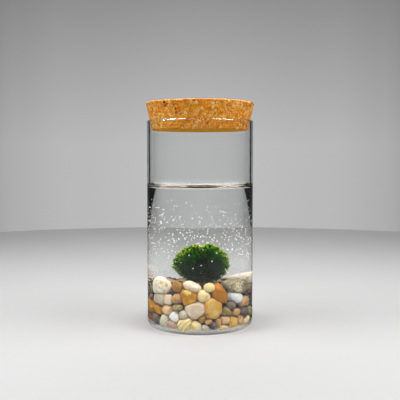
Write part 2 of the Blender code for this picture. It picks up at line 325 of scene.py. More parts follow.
for name, look in SOFT_BOXES.items():
    add_lamp(f"{name} soft box", *look)
for name, side in (("left", -GLINT_SIDE), ("right", GLINT_SIDE)):
    strip = add_lamp(f"{name} glint strip", (side, 0.0, GLINT_HEIGHT), (0.0, 0.0, 0.1), GLINT_SIZE, GLINT_POWER)
    strip.visible_diffuse = False
world = bpy.data.worlds.new("dim room")
world.use_nodes = True
world.node_tree.nodes["Background"].inputs["Color"].default_value = (FILL, FILL, FILL, 1.0)
bpy.context.scene.world = world
print("lamps:", len(bpy.data.lights))

# %% [markdown]
# ## Shared finishes
# Stones, gravel and cork all vary in the same few ways, so each of these effects is a node
# group, made once and placed in each material with its own values. `mottle` drifts between
# two colours in soft patches, `flecks` gives small separate spots, `bands` wavy layers,
# `patch` one ragged patch at a chosen place, for a stain, a painted highlight or a painted shade,
# and `grain` the fine height of a rough surface.

# %% Node groups for colour
def new_group(name, inputs, outputs):
    """A group. Three numbers make an input a vector, and four a colour."""
    tree = bpy.data.node_groups.new(name, "ShaderNodeTree")
    for label, value in inputs.items():
        kind = {1: "Float", 3: "Vector", 4: "Color"}[np.size(value)]
        made = tree.interface.new_socket(name=label, in_out="INPUT", socket_type="NodeSocket" + kind)
        made.default_value = value
    for label in outputs:
        kind = "Color" if label == "Color" else "Float"
        tree.interface.new_socket(name=label, in_out="OUTPUT", socket_type="NodeSocket" + kind)
    come = tree.nodes.new("NodeGroupInput")
    go = tree.nodes.new("NodeGroupOutput")
    return tree, come.outputs, go


def scaled_spot(tree, scale):
    return scaled(tree, object_spot(tree), scale)


def make_mottle():
    values = {"Scale": 150.0, "Light": (1, 1, 1, 1), "Dark": (0, 0, 0, 1), "Balance": 0.5, "Contrast": 0.3}
    tree, given, out = new_group("mottle", values, ["Color", "Mask"])
    cloud = clouds(tree, scaled_spot(tree, given["Scale"]), 4.0, roughness=0.6)
    low = maths(tree, "SUBTRACT", given["Balance"], given["Contrast"])
    high = maths(tree, "ADD", given["Balance"], given["Contrast"])
    mask = spread(tree, cloud, (low, high))
    feed(tree, out, {"Color": blend(tree, mask, given["Dark"], given["Light"]), "Mask": mask})
    return tree


def make_flecks():
    tree, given, out = new_group("flecks", {"Scale": 500.0, "Size": 0.3, "Share": 0.4}, ["Mask"])
    spot = scaled_spot(tree, given["Scale"])
    bent = blend(tree, 0.35, spot, clouds(tree, spot, 2.0, 1.6, out="Color"), "ADD")
    cells = place(tree, "TexVoronoi", {"Vector": bent, "Scale": 1.0}).outputs
    inside = spread(tree, cells["Distance"], (0.1, given["Size"]), (1.0, 0.0))
    chance = place(tree, "SeparateColor", {"Color": cells["Color"]}).outputs["Red"]
    kept = maths(tree, "LESS_THAN", chance, given["Share"])
    feed(tree, out, {"Mask": maths(tree, "MULTIPLY", inside, kept)})
    return tree


def make_bands():
    tree, given, out = new_group("bands", {"Scale": 300.0, "Waver": 2.0, "Width": 0.5, "Lean": (0, 0, 0)}, ["Mask"])
    spot = object_spot(tree)
    turned = place(tree, "VectorRotate", {"Vector": spot, "Rotation": given["Lean"]}, rotation_type="EULER_XYZ")
    grown = scaled(tree, turned.outputs["Vector"], given["Scale"])
    values = {"Vector": grown, "Scale": 1.0, "Distortion": given["Waver"], "Detail": 2.0, "Detail Scale": 0.6}
    wave = place(tree, "TexWave", values, bands_direction="Z").outputs["Fac"]
    feed(tree, out, {"Mask": spread(tree, wave, (given["Width"], maths(tree, "ADD", given["Width"], 0.25)))})
    return tree


MOTTLE, FLECKS, BANDS = make_mottle(), make_flecks(), make_bands()
print("node groups:", [g.name for g in bpy.data.node_groups])

# %% Node groups for stains, painted light and grain
def make_patch():
    tree, given, out = new_group("patch", {"Center": (0, 0, 0), "Radius": 0.001, "Ragged": 0.8}, ["Mask"])
    spot = object_spot(tree)
    away = place(tree, "VectorMath", {0: spot, 1: given["Center"]}, operation="DISTANCE").outputs["Value"]
    torn = spread(tree, clouds(tree, spot, 3.0, 700.0), end=(-1.0, 1.0))
    uneven = maths(tree, "MULTIPLY_ADD", torn, given["Ragged"], maths(tree, "DIVIDE", away, given["Radius"]))
    feed(tree, out, {"Mask": spread(tree, uneven, (0.8, 1.25), (0.9, 0.0))})
    return tree


def make_grain():
    tree, given, out = new_group("grain", {"Scale": 1500.0, "Pits": 0.3}, ["Height"])
    spot = scaled_spot(tree, given["Scale"])
    holes = place(tree, "TexVoronoi", {"Vector": spot, "Scale": 0.45}).outputs["Distance"]
    sunk = maths(tree, "MULTIPLY", spread(tree, holes, (0.0, 0.35), (1.0, 0.0)), given["Pits"])
    feed(tree, out, {"Height": maths(tree, "SUBTRACT", clouds(tree, spot, 6.0, roughness=0.7), sunk)})
    return tree


PATCH, GRAIN = make_patch(), make_grain()


def effect(tree, group, **values):
    return place(tree, "Group", values, node_tree=group).outputs


def mottled(tree, scale, light, dark, balance=0.5, contrast=0.2):
    return effect(tree, MOTTLE, Scale=scale, Light=(*light, 1), Dark=(*dark, 1), Balance=balance, Contrast=contrast)


def grain(tree, scale, pits):
    return effect(tree, GRAIN, Scale=scale, Pits=pits)["Height"]


print("node groups:", [g.name for g in bpy.data.node_groups])

# %% [markdown]
# ## Stone finishes
# River stones of many kinds lie mixed in the bed. They are wet, so their colours are deep.
# One function builds every stone material from a short description: two ground colours that
# drift into each other, flecks or bands of a third colour, and how rough it is. The
# descriptions are the only part that differs from kind to kind.

# %% Kinds of stone
STONE_LOOKS = {
    # kind: light, dark, mark colour, flecks (size, share) or bands (scale, waver, width), roughness, pits
    "chalk": ((0.98, 0.95, 0.84), (0.90, 0.80, 0.58), (0.80, 0.46, 0.10), (0.48, 0.40), 0.55, 0.6),
    "rust": ((0.40, 0.22, 0.035), (0.24, 0.10, 0.010), (0.75, 0.16, 0.01), (0.50, 0.35), 0.4, 0.4),
    "pink": ((0.96, 0.84, 0.66), (0.76, 0.52, 0.34), (0.46, 0.22, 0.08), (0.34, 0.22), 0.45, 0.3),
    "cream": ((0.98, 0.85, 0.50), (0.80, 0.58, 0.20), (0.72, 0.34, 0.03), (0.40, 0.28), 0.45, 0.5),
    "caramel": ((0.50, 0.19, 0.008), (0.36, 0.11, 0.003), (0.28, 0.09, 0.008), (0.32, 0.35), 0.35, 0.3),
    "greygreen": ((0.38, 0.32, 0.18), (0.17, 0.15, 0.08), (0.13, 0.12, 0.07), (95.0, 5.0, 0.70), 0.25, 0.2),
    "quartz": ((1.0, 1.0, 0.98), (0.97, 0.99, 0.97), (0.72, 0.80, 0.78), (120.0, 8.0, 0.86), 0.25, 0.3),
    "grey": ((0.72, 0.62, 0.48), (0.44, 0.36, 0.26), (0.86, 0.82, 0.74), (0.42, 0.35), 0.5, 0.5),
    "tan": ((0.78, 0.50, 0.24), (0.42, 0.21, 0.07), (0.88, 0.72, 0.46), (0.40, 0.30), 0.45, 0.5),
    "ochre": ((0.66, 0.30, 0.008), (0.42, 0.15, 0.002), (0.90, 0.66, 0.14), (0.50, 0.22), 0.3, 0.4),
    "slate": ((0.19, 0.13, 0.10), (0.035, 0.024, 0.020), (0.38, 0.32, 0.28), (220.0, 5.0, 0.72), 0.4, 0.6),
    "peach": ((0.92, 0.68, 0.38), (0.68, 0.38, 0.15), (0.97, 0.88, 0.70), (0.42, 0.35), 0.45, 0.5),
    "olive": ((0.46, 0.38, 0.15), (0.14, 0.10, 0.03), (0.60, 0.34, 0.04), (0.46, 0.35), 0.45, 0.5),
    "beige": ((0.86, 0.70, 0.52), (0.72, 0.54, 0.38), (0.94, 0.88, 0.76), (0.30, 0.15), 0.45, 0.2),
    "yellow": ((0.90, 0.60, 0.17), (0.66, 0.33, 0.04), (0.72, 0.34, 0.03), (0.44, 0.22), 0.4, 0.7),
    "mint": ((0.86, 0.86, 0.68), (0.56, 0.54, 0.38), (0.26, 0.14, 0.05), (200.0, 7.0, 0.74), 0.4, 0.4),
    "rose": ((0.66, 0.45, 0.31), (0.42, 0.26, 0.16), (0.76, 0.60, 0.46), (340.0, 3.0, 0.62), 0.45, 0.4),
    "striped": ((0.98, 0.88, 0.58), (0.92, 0.76, 0.40), (0.84, 0.52, 0.05), (125.0, 3.0, 0.45), 0.45, 0.3),
}
RUST, AMBER, PALE = (0.42, 0.10, 0.006), (0.86, 0.46, 0.06), (0.97, 0.93, 0.84)
STAINS_AND_PAINTED_LIGHT = {
    # node: stains and painted light, each right of and above the stone's middle in mm, its radius in mm, its colour
    "stone_19_yellow": [(-2.7, -3.3, 1.9, (0.70, 0.28, 0.02)), (-2.7, -3.3, 1.0, RUST),
                        (-4.6, 2.2, 2.0, (0.74, 0.34, 0.03)), (1.1, 3.4, 1.0, AMBER)],
    "stone_01_chalk": [(-0.8, 3.0, 1.5, AMBER), (2.9, 1.2, 1.3, AMBER), (-2.6, -0.4, 1.1, AMBER),
                       (1.2, -2.8, 1.4, (0.80, 0.50, 0.16))],
    # the pale yellow patch at the top of the ochre stone is a painted highlight
    "stone_11_ochre": [(-1.5, 4.2, 2.6, (0.95, 0.74, 0.22)), (1.8, -2.6, 2.2, (0.80, 0.42, 0.02))],
    "stone_12_cream": [(1.2, -0.4, 1.3, AMBER)],
    # the small pale patch on the dark left of the greygreen stone is a painted highlight
    "stone_06_greygreen": [(7.0, 0.5, 6.4, (0.95, 0.80, 0.52)), (-3.8, 0.6, 1.2, PALE)],
    # the pale blue-green patch low on the quartz is painted shade
    "stone_07_quartz": [(0.5, -2.8, 2.0, (0.80, 0.88, 0.86))],
    "stone_18_beige": [(-4.6, -3.0, 1.6, PALE), (4.8, -0.5, 1.2, PALE)],
}
print("kinds of stone:", len(STONE_LOOKS))

# %% Stone materials
FLECK_SCALE = 420.0
BAND_LEAN = (0.5, 0.7, 0.2)
MARK_STRENGTH = 0.75
PATCH_DEPTH = 1.0 * MM
WET_SHINE = 0.03  # under water hardly anything is mirrored


def make_stone_material(kind):
    light, dark, mark, pattern, roughness, pits = STONE_LOOKS[kind]
    material, tree, shader = new_material(f"{kind} stone")
    ground = mottled(tree, 130.0, light, dark, 0.48, 0.16)
    if len(pattern) == 2:
        marks = effect(tree, FLECKS, Scale=FLECK_SCALE, Size=pattern[0], Share=pattern[1])
    else:
        marks = effect(tree, BANDS, Scale=pattern[0], Waver=pattern[1], Width=pattern[2], Lean=BAND_LEAN)
    colour = blend(tree, maths(tree, "MULTIPLY", marks["Mask"], MARK_STRENGTH), ground["Color"], (*mark, 1))
    # stains, and on three stones a painted highlight or a painted shade, laid as ragged patches on the front
    for node in (n for n in STAINS_AND_PAINTED_LIGHT if n.endswith("_" + kind)):
        low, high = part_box(node)
        for right, above, radius, stain_and_light in STAINS_AND_PAINTED_LIGHT[node]:
            spot = (low + high) / 2 + Vector((right, 0, above)) * MM
            spot.y = low.y + PATCH_DEPTH
            patch = effect(tree, PATCH, Center=spot, Radius=radius * MM, Ragged=0.9)
            colour = blend(tree, patch["Mask"], colour, (*stain_and_light, 1))
    shine = spread(tree, ground["Mask"], end=(roughness + 0.12, roughness - 0.08))
    feed(tree, shader, {"Base Color": colour, "Roughness": shine, "Specular IOR Level": WET_SHINE})
    bump(tree, shader, grain(tree, 1500.0, pits), 0.8, 0.0004)
    return material


STONES = {kind: make_stone_material(kind) for kind in STONE_LOOKS}
print("stone finishes:", len(STONES))

# %% [markdown]
# ## The stones
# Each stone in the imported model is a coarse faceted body, exactly where the stone lies. A
# river stone is rounder, with shallow hollows from knocks. So each body is welded, smoothed
# by subdivision and pushed in and out along its normals by soft noise. Noise in the geometry
# shows in the outline too, which a bump in the material can't do.

# %% Round the stones
FULLER = 1.10
STONE_REACH = 37.85 * MM
STONE_FLOOR = 3.15 * MM
WELD = 0.01 * MM
SOFT_WEAR, FINE_WEAR = 0.35 * MM, 0.30 * MM


def rounded(node, name, levels):
    """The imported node, welded, as an object with a Subdivision Surface modifier that rounds it."""
    work = bmesh.new()
    work.from_mesh(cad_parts[node].data)
    bmesh.ops.remove_doubles(work, verts=work.verts, dist=WELD)
    mesh = bpy.data.meshes.new(name)
    work.to_mesh(mesh)
    work.free()
    made = add_object(name, mesh)
    modifier = made.modifiers.new("round", "SUBSURF")
    modifier.levels = modifier.render_levels = levels
    return made


def apply_all(objects):
    """Applies the modifiers of many objects at once, so that the scene is evaluated only once."""
    view = bpy.context.evaluated_depsgraph_get()
    shapes = [bpy.data.meshes.new_from_object(made.evaluated_get(view)) for made in objects]
    for made, shape in zip(objects, shapes):
        made.modifiers.clear()
        made.data = shape


def worn(point, seed):
    """How far a stone's surface is worn or proud here, in metres."""
    return SOFT_WEAR * noise.noise(point * 160 + seed) + FINE_WEAR * noise.fractal(point * 420 + seed, 1.0, 2.1, 4)


def inside_jar(point):
    """The point, moved in where it would pass through the glass."""
    pull = min(1.0, STONE_REACH / max(math.hypot(point.x, point.y), MM))
    return Vector((point.x * pull, point.y * pull, max(point.z, STONE_FLOOR)))


def finish_stone(made, node):
    number, kind = node.split("_")[1:]
    low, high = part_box(node)
    middle = (low + high) / 2
    seed = Vector((int(number) * 3.7, int(number) * 1.3, 0.5))
    outward = [vertex.normal.copy() for vertex in made.data.vertices]
    for vertex, normal in zip(made.data.vertices, outward):
        grown = middle + (vertex.co - middle) * FULLER
        vertex.co = inside_jar(grown + normal * worn(grown, seed))
    made.data.shade_smooth()
    made.data.materials.clear()
    made.data.materials.append(STONES[kind])
    finish_piece(made, node)


stone_nodes = sorted(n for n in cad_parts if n.startswith("stone_"))
stones = [rounded(n, "{2}_stone_{1}".format(*n.split("_")), 2) for n in stone_nodes]
apply_all(stones)
for stone, node in zip(stones, stone_nodes):
    finish_stone(stone, node)
print("stones:", len(stones), "pieces,", sum(len(s.data.polygons) for s in stones), "faces")

# %% [markdown]
# ## The small gravel
# Between and behind the large stones lie hundreds of small ones. Real gravel settles until
# every stone touches its neighbours. The same result comes from a search: drop a point in
# the bed, measure how far it is from everything, and if a pebble of the wanted size fits,
# put it there. Doing this for large pebbles first and ever smaller ones after fills the gaps.

# %% Measure the room round a point
WALL = 2.0 * MM
GLASS_FLOOR = 3.0 * MM
INNER_ROUND = 4.0 * MM
JAR_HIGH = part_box("glass_jar")[1]
JAR_RADIUS = JAR_HIGH.x
BORE = JAR_RADIUS - WALL
BED_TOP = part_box("gravel_fill")[1].z
MOSS_LOW, MOSS_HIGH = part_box("moss_ball")
MOSS_CENTRE = (MOSS_LOW + MOSS_HIGH) / 2


def tree_of(names):
    points, faces = [], []
    for name in names:
        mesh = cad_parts[name].data
        first = len(points)
        points += [v.co.copy() for v in mesh.vertices]
        faces += [tuple(first + i for i in f.vertices) for f in mesh.polygons]
    return BVHTree.FromPolygons(points, faces)


def signed_room(tree, point):
    spot, normal, _, distance = tree.find_nearest(point)
    return distance if (point - spot).dot(normal) > 0 else -distance


class PebbleGrid:
    """Pebbles already laid, sorted into cells so that only near ones are measured."""

    CELL = 11.0 * MM

    def __init__(self):
        self.cells, self.laid = {}, []

    def key(self, point):
        return tuple(int(v // self.CELL) for v in point)

    def room(self, point):
        x, y, z = self.key(point)
        near = 1.0
        for i in (-1, 0, 1):
            for j in (-1, 0, 1):
                for k in (-1, 0, 1):
                    for other, radius in self.cells.get((x + i, y + j, z + k), ()):
                        near = min(near, (point - other).length - radius)
        return near

    def add(self, point, radius):
        self.cells.setdefault(self.key(point), []).append((point, radius))
        self.laid.append((point, radius))


print("bed up to", round(BED_TOP / MM, 1), "mm")

# %% [markdown]
# The search takes one size after the other. The smallest pebbles are only wanted where they
# can be seen, near the glass and near the top. At the front no pebble comes near the glass,
# so that the big stones stand out.

# %% Find room for each pebble
PEBBLE_SIZES = [  # radius in mm, and how many places are tried
    (4.6, 1500), (3.8, 2500), (3.0, 5000), (2.4, 9000), (1.8, 14000), (1.35, 20000), (1.0, 16000),
]
SMALL = 2.5
HIDDEN_FROM, HIDDEN_WITHIN, HIDDEN_BELOW = 17 * MM, 24 * MM, 26 * MM
FRONT = -9 * MM
SET_BACK = 33.0 * MM
CLOSE = 0.93  # the gap wanted, as a share of the radius, as the pebbles are squashed


def lay_pebbles():
    around = tree_of(stone_nodes + ["moss_ball"])
    grid = PebbleGrid()
    dice = random.Random(41)
    for size, tries in PEBBLE_SIZES:
        radius = size * MM
        inner = 0.0 if size > SMALL else HIDDEN_FROM
        for _ in range(tries):
            out = math.sqrt(dice.uniform(inner**2, (BORE - radius) ** 2))
            turn = dice.uniform(0, 2 * math.pi)
            flat = Vector((out * math.cos(turn), out * math.sin(turn), 0))
            top = BED_TOP + 1.6 * MM * noise.noise(flat * 90)
            height = dice.uniform(GLASS_FLOOR + radius, max(top - radius, GLASS_FLOOR + radius))
            if inner and height < HIDDEN_BELOW and out < HIDDEN_WITHIN:
                continue
            point = Vector((out * math.cos(turn), out * math.sin(turn), height))
            if point.y < FRONT and out + radius > SET_BACK:
                continue
            to_foot = (BORE - INNER_ROUND - out) + (height - GLASS_FLOOR - INNER_ROUND)
            if to_foot < radius * 1.414 - INNER_ROUND:
                continue
            if grid.room(point) < radius * CLOSE or signed_room(around, point) < radius * CLOSE:
                continue
            grid.add(point, radius)
    return grid.laid


pebble_spots = lay_pebbles()
print("pebbles:", len(pebble_spots))

# %% [markdown]
# Every pebble is a small ball, squashed, turned at random and dented. All are joined into one
# mesh, because they stand for one node. Each carries its own random number as a face
# attribute, which the material turns into one of the colours of the bed. A second number
# darkens the smallest ones and those behind the front stones to dark brown: painted shade in the gaps.

# %% Gravel material
GRAVEL_KINDS = "tan cream slate ochre grey olive pink rust peach quartz caramel slate".split()
GRAVEL_SHADE = 0.4
# painted shade: the dark brown of the gaps between the stones
GAP_SHADE_BROWN = (0.045, 0.022, 0.010, 1)


def make_gravel_material():
    material, tree, shader = new_material("small mixed gravel")
    stops = []
    for i, kind in enumerate(GRAVEL_KINDS):
        light, dark = STONE_LOOKS[kind][:2]
        stops.append((i / len(GRAVEL_KINDS), [(a + b) * GRAVEL_SHADE for a, b in zip(light, dark)]))
    number = place(tree, "Attribute", attribute_name="pebble").outputs["Fac"]
    grit = place(tree, "Attribute", attribute_name="grit").outputs["Fac"]
    shade = mottled(tree, 260.0, (1.25, 1.2, 1.15), (0.6, 0.56, 0.52))["Color"]
    mixed = blend(tree, 1.0, ramp(tree, number, stops, "CONSTANT"), shade, "MULTIPLY")
    colour = blend(tree, grit, mixed, GAP_SHADE_BROWN)
    feed(tree, shader, {"Base Color": colour, "Roughness": 0.45, "Specular IOR Level": WET_SHINE})
    bump(tree, shader, grain(tree, 1800.0, 0.3), 0.5, 0.0002)
    return material


GRAVEL = make_gravel_material()
print("colours of gravel:", len(GRAVEL_KINDS))

# %% Build the pebbles
FINE_ABOVE = 2.0 * MM
DENTS = 0.13
OFF_GLASS = 0.1 * MM


def ball(level):
    work = bmesh.new()
    bmesh.ops.create_icosphere(work, subdivisions=level, radius=1.0)
    points = np.array([v.co[:] for v in work.verts])
    faces = np.array([[v.index for v in f.verts] for f in work.faces])
    work.free()
    return points, faces


def make_gravel():
    dice = random.Random(7)
    shapes, numbers, grits = [], [], []
    for centre, radius in pebble_spots:
        points, faces = BALLS[3 if radius > FINE_ABOVE else 2]
        squash = np.array([1.12, dice.uniform(0.85, 1.05), dice.uniform(0.72, 0.95)]) * radius
        turn = Matrix.Rotation(dice.uniform(0, 6.28), 3, "Z") @ Matrix.Rotation(dice.gauss(0, 0.5), 3, "X")
        seed = Vector((dice.uniform(0, 50), dice.uniform(0, 50), 0))
        dents = np.array([1 + DENTS * noise.noise(Vector(p) * 1.4 + seed) for p in points])
        placed = (points * squash * dents[:, None]) @ np.array(turn.transposed()) + np.array(centre)
        away = np.hypot(placed[:, 0], placed[:, 1])
        pull = np.minimum(1.0, (BORE - OFF_GLASS) / np.maximum(away, 1e-9))
        placed[:, :2] *= pull[:, None]
        placed[:, 2] = np.maximum(placed[:, 2], GLASS_FLOOR + OFF_GLASS)
        shapes.append((placed, faces))
        numbers.append(np.full(len(faces), dice.random()))
        # painted shade on the smallest pebbles and on those at the front
        grits.append(np.full(len(faces), 0.8 if radius < FINE_ABOVE or centre.y < FRONT else 0.2))
    made = add_many("small_gravel", shapes, GRAVEL)
    tag(made, "pebble", "FACE", np.concatenate(numbers))
    tag(made, "grit", "FACE", np.concatenate(grits))
    return finish_piece(made, "gravel_fill")


BALLS = {level: ball(level) for level in (2, 3)}
gravel = make_gravel()
print("small gravel:", len(gravel.data.polygons), "faces")

# %% [markdown]
# ## The moss ball
# A marimo has no leaves: it is a dense ball of thin green threads that all grow outwards.
# Where the threads end, light shines through them and the edge of the ball turns yellow
# green. Between them it is nearly black, because the light that goes in hardly comes out.
# Both are painted into the threads' colour here: painted light at the tips, painted shade at
# the roots. A painted ball can't show that soft edge, so the threads are real geometry: thousands
# of thin tapered threads stand on a core painted near black as shade, and end at the size that
# the imported model gives.

# %% Shape of the ball
MOSS_RADIUS = (MOSS_HIGH.z - MOSS_LOW.z) / 2
THREAD_LENGTH = 3.4 * MM
HUMPS = [(-24, 11, 0.045), (20, 11, 0.05), (-5, 7, -0.085)]  # degrees off the top, width, height
LUMPS = 0.035


def swell(direction):
    """How far the ball reaches in this direction, as a share of its radius."""
    lean = math.degrees(math.atan2(direction.x, max(direction.z, 0.05)))
    humps = sum(height * math.exp(-(((lean - at) / width) ** 2)) for at, width, height in HUMPS)
    low = 0.06 * max(0.0, -direction.z)
    side = 0.12 * max(0.0, -direction.x) ** 4
    lumps = LUMPS * noise.fractal(direction * 2.3 + Vector((4.1, 0.4, 2.7)), 1.0, 2.0, 3)
    return 0.985 + humps * max(0.0, direction.z) ** 2 + side - low + lumps


GREENS = [  # from root to tip: painted shade at the root, painted light at the tip
    (0.0, (0.0002, 0.0008, 0.0001)), (0.45, (0.0006, 0.005, 0.0001)), (0.72, (0.002, 0.032, 0.0002)),
    (0.86, (0.04, 0.18, 0.0008)), (0.93, (0.32, 0.50, 0.004)), (1.0, (0.80, 0.84, 0.02)),
]
TONE_AND_LIGHT_SHIFT = (-0.26, 0.16)  # how much darker or lighter than that a thread can be


def make_moss_material():
    material, tree, shader = new_material("green water threads")
    along = place(tree, "Attribute", attribute_name="along").outputs["Fac"]
    own = place(tree, "Attribute", attribute_name="own").outputs["Fac"]
    light = maths(tree, "ADD", along, spread(tree, own, end=TONE_AND_LIGHT_SHIFT), clamp=True)
    feed(tree, shader, {
        "Base Color": ramp(tree, light, GREENS),
        "Roughness": 0.9,
        "Specular IOR Level": 0.0,
        "Subsurface Weight": 0.9,
        "Subsurface Radius": (0.8, 1.0, 0.3),
        "Subsurface Scale": 0.6 * MM,
    })
    return material


def make_core():
    points, faces = BALLS[3]
    placed = []
    for p in points:
        direction = Vector(p).normalized()
        placed.append(MOSS_CENTRE + direction * (MOSS_RADIUS * swell(direction) - THREAD_LENGTH * 0.62))
    made = add_mesh("moss_core", placed, faces.tolist(), MOSS_GREEN)
    # the core is painted near black: painted shade for the depth of the ball
    tag(made, "along", "POINT", np.full(len(points), 0.08))
    tag(made, "own", "POINT", np.full(len(points), 0.5))
    return finish_piece(made, "moss_ball")


MOSS_GREEN = make_moss_material()
core = make_core()
print("moss core:", len(core.data.polygons), "faces")

# %% [markdown]
# One thread is a three-sided tube that tapers to a point: nine triangles. The long threads
# grow in tufts, like the hairs of a wet brush: their roots stand apart and their tips come
# together. Short threads, painted darker as shade, fill the ground between. Each point knows how
# far along its thread it is, so the finish can run from black green, painted shade at the root,
# to yellow green, painted light at the tip. Threads that grow up or sideways are painted lighter
# than those at the front, as painted light.

# %% Shape of a thread
TUBE_FACES = [(0, 1, 4), (0, 4, 3), (1, 2, 5), (1, 5, 4), (2, 0, 3), (2, 3, 5), (3, 4, 6), (4, 5, 6), (5, 3, 6)]
TUBE_ALONG = [0.05] * 3 + [0.5] * 3 + [1.0]
CORNERS = [(math.cos(2 * math.pi * i / 3), math.sin(2 * math.pi * i / 3)) for i in range(3)]


def any_direction(dice):
    return Vector((dice.gauss(0, 1), dice.gauss(0, 1), dice.gauss(0, 1))).normalized()


def sideways(direction):
    first = direction.cross(UP if abs(direction.z) < 0.9 else Vector((1.0, 0.0, 0.0))).normalized()
    return first, direction.cross(first)


def thread(root, tip, bow, wide):
    """Seven points: two rings of three round the root and the middle, and the tip."""
    first, second = sideways((tip - root).normalized())
    rings = [(root, wide), (root.lerp(tip, 0.55) + bow, wide * 0.75)]
    return [spot + (first * c + second * d) * w for spot, w in rings for c, d in CORNERS] + [tip]


print("points in a thread:", len(TUBE_ALONG))

# %% Grow the threads
TUFTS, THREADS_PER_TUFT, SHORT_THREADS = 1000, 18, 14000
LIGHT_SIDE = Vector((-0.5, -0.2, 0.84))  # painted light: threads facing this way are painted lighter
RIM_FROM, RIM_SOFT = 0.78, 0.18
SHORT_SHADE = 0.62


def tufts(dice):
    for _ in range(TUFTS):
        direction = any_direction(dice)
        first, second = sideways(direction)
        stray = noise.noise_vector(direction * 5.0 + Vector((9.0, 2.0, 5.0)))
        outward = (direction + stray * 0.45).normalized()
        lump = noise.noise(direction * 6.0 + Vector((1.0, 6.0, 3.0)))
        reach = MOSS_RADIUS * swell(direction) + MM * (0.5 * lump + dice.gauss(0, 0.35))
        length = THREAD_LENGTH * dice.uniform(0.75, 1.2)
        foot = MOSS_CENTRE + direction * (reach - length)
        # painted light: threads at the outline seen from the front and those facing LIGHT_SIDE are painted lighter,
        # on top of a random tone
        rim = min(1.0, max(0.0, (math.hypot(direction.x, direction.z) - RIM_FROM) / RIM_SOFT))
        shade = 0.16 * direction.dot(LIGHT_SIDE) + 0.72 * rim + dice.uniform(0.0, 0.18)
        for _ in range(THREADS_PER_TUFT):
            turn, apart = dice.uniform(0, 6.28), dice.uniform(0.2, 1.25) * MM
            aside = (first * math.cos(turn) + second * math.sin(turn)) * apart
            tip = foot + outward * length + aside * 0.25 + outward * dice.gauss(-0.2, 0.55) * MM
            wide = dice.uniform(0.07, 0.11) * MM
            yield foot + aside, tip, aside * 0.18, wide, min(1.0, max(0.0, shade + dice.gauss(0, 0.12)))


def short_threads(dice):
    for _ in range(SHORT_THREADS):
        direction = any_direction(dice)
        length = THREAD_LENGTH * dice.uniform(0.45, 0.8)
        reach = MOSS_RADIUS * swell(direction) - dice.uniform(0.7, 1.9) * MM
        root = MOSS_CENTRE + direction * (reach - length)
        tip = MOSS_CENTRE + direction * reach + any_direction(dice) * 0.5 * MM
        yield root, tip, any_direction(dice) * 0.15 * MM, dice.uniform(0.06, 0.1) * MM, dice.random()


def grow(name, kinds, brightest):
    points, own = [], []
    for root, tip, bow, wide, shade in kinds:
        points += thread(root, tip, bow, wide)
        own.append(shade)
    first = np.arange(len(own))[:, None, None] * len(TUBE_ALONG)
    made = add_mesh(name, points, (np.array(TUBE_FACES)[None] + first).reshape(-1, 3).tolist(), MOSS_GREEN)
    tag(made, "along", "POINT", np.tile(np.array(TUBE_ALONG) * brightest, len(own)))
    tag(made, "own", "POINT", np.repeat(own, len(TUBE_ALONG)))
    print(name, len(own), "threads,", len(made.data.polygons), "triangles")
    finish_piece(made, "moss_ball")


noise.seed_set(5)  # noise_vector starts from the clock without it
grow("moss_tufts", tufts(random.Random(11)), 1.0)
grow("moss_short_threads", short_threads(random.Random(12)), SHORT_SHADE)

# %% [markdown]
# ## The cork
# A wide stopper like this is pressed from cork crumbs and glue, then ground to a taper. Its
# side shows the crumbs in every shade from straw to rust, with open pits where a crumb fell
# out, and the top edge is a little chipped. The lower face was planed smooth. The body is
# turned as a fine grid of points, each pushed in where a seam or a pit lies.

# %% Turn a body
def turned(name, profile, count, material, shape=None):
    """A closed body turned about the jar's axis. The profile starts and ends on the axis."""
    inner = profile[1:-1]
    points = [Vector((0.0, 0.0, profile[0][1])), Vector((0.0, 0.0, profile[-1][1]))]
    for radius, height in inner:
        for i in range(count):
            turn = 2 * math.pi * i / count
            point = Vector((radius * math.cos(turn), radius * math.sin(turn), height))
            points.append(shape(point) if shape else point)
    faces = []
    last = 2 + (len(inner) - 1) * count
    for i in range(count):
        j = (i + 1) % count
        faces.append((0, 2 + j, 2 + i))
        faces.append((1, last + i, last + j))
        for k in range(len(inner) - 1):
            low, high = 2 + k * count, 2 + (k + 1) * count
            faces.append((low + i, low + j, high + j, high + i))
    return add_mesh(name, points, faces, material)


CORK_LOW, CORK_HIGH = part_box("cork_stopper")
CORK_TURNS, CORK_STEPS, CORK_RINGS = 300, 52, 36
CORK_TAPER = 0.22
CORK_EDGE = 0.7 * MM


def cork_profile():
    top_radius = CORK_HIGH.x + 0.15 * MM
    low_radius = top_radius - CORK_TAPER * (CORK_HIGH.z - CORK_LOW.z)
    profile = [(0.0, CORK_LOW.z)]
    profile += [(low_radius * share, CORK_LOW.z) for share in (0.15, 0.35, 0.55, 0.7, 0.82, 0.9, 0.95)]
    profile.append((low_radius - CORK_EDGE, CORK_LOW.z))
    side = CORK_HIGH.z - CORK_LOW.z - CORK_EDGE * 1.2
    for i in range(CORK_STEPS + 1):
        height = CORK_LOW.z + CORK_EDGE * 0.6 + side * i / CORK_STEPS
        profile.append((top_radius - CORK_TAPER * (CORK_HIGH.z - height), height))
    for i in range(CORK_RINGS):
        profile.append(((top_radius - CORK_EDGE) * (1 - i / CORK_RINGS), CORK_HIGH.z))
    return profile + [(0.0, CORK_HIGH.z)]


print("cork profile:", len(cork_profile()), "points")

